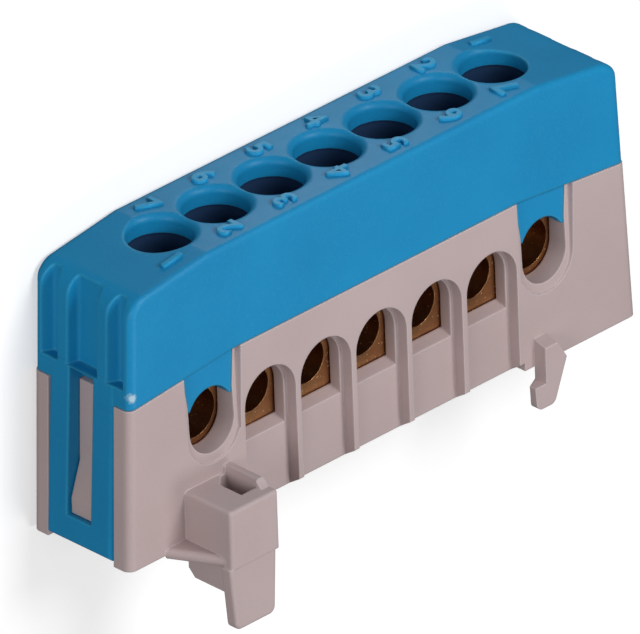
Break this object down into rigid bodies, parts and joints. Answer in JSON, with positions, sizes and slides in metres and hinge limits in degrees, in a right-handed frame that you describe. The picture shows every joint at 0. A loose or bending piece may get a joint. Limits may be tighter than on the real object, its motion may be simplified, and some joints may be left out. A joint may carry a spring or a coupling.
{
  "type": "neutral terminal bar",
  "caption": "Rail-mounted neutral terminal bar: a drilled brass bar with clamp screws in a moulded base, under a push-on cover with screw wells.",
  "frame": {"origin": "on the rail seat, the base's underside, below the middle of the brass bar", "axes": "+X along the bar with the sprung catch at -X, -Y the front that carries both rail feet, +Z away from the rail"},
  "size_m": [0.0602, 0.0171, 0.0325],
  "materials": {
    "housing": "fine moulded texture, slightly warm light grey",
    "cover": "fine moulded texture, blue",
    "bar": "drawn brass, drilled",
    "screw": "plated steel, slotted"
  },
  "bodies": {
    "housing": {"base_housing": "housing", "cover": "cover", "terminal_bar": "bar"},
    "screw_1": {"clamp_screw_1": "screw"},
    "screw_2": {"clamp_screw_2": "screw"},
    "screw_3": {"clamp_screw_3": "screw"},
    "screw_4": {"clamp_screw_4": "screw"},
    "screw_5": {"clamp_screw_5": "screw"},
    "screw_6": {"clamp_screw_6": "screw"},
    "screw_7": {"clamp_screw_7": "screw"}
  },
  "joints": [
    {"name": "screw_1_down", "type": "slide", "parent": "housing", "child": "screw_1", "axis": [0, 0, -1], "range_m": [0, 0.003]},
    {"name": "screw_2_down", "type": "slide", "parent": "housing", "child": "screw_2", "axis": [0, 0, -1], "range_m": [0, 0.003]},
    {"name": "screw_3_down", "type": "slide", "parent": "housing", "child": "screw_3", "axis": [0, 0, -1], "range_m": [0, 0.003]},
    {"name": "screw_4_down", "type": "slide", "parent": "housing", "child": "screw_4", "axis": [0, 0, -1], "range_m": [0, 0.003]},
    {"name": "screw_5_down", "type": "slide", "parent": "housing", "child": "screw_5", "axis": [0, 0, -1], "range_m": [0, 0.003]},
    {"name": "screw_6_down", "type": "slide", "parent": "housing", "child": "screw_6", "axis": [0, 0, -1], "range_m": [0, 0.003]},
    {"name": "screw_7_down", "type": "slide", "parent": "housing", "child": "screw_7", "axis": [0, 0, -1], "range_m": [0, 0.003]}
  ]
}
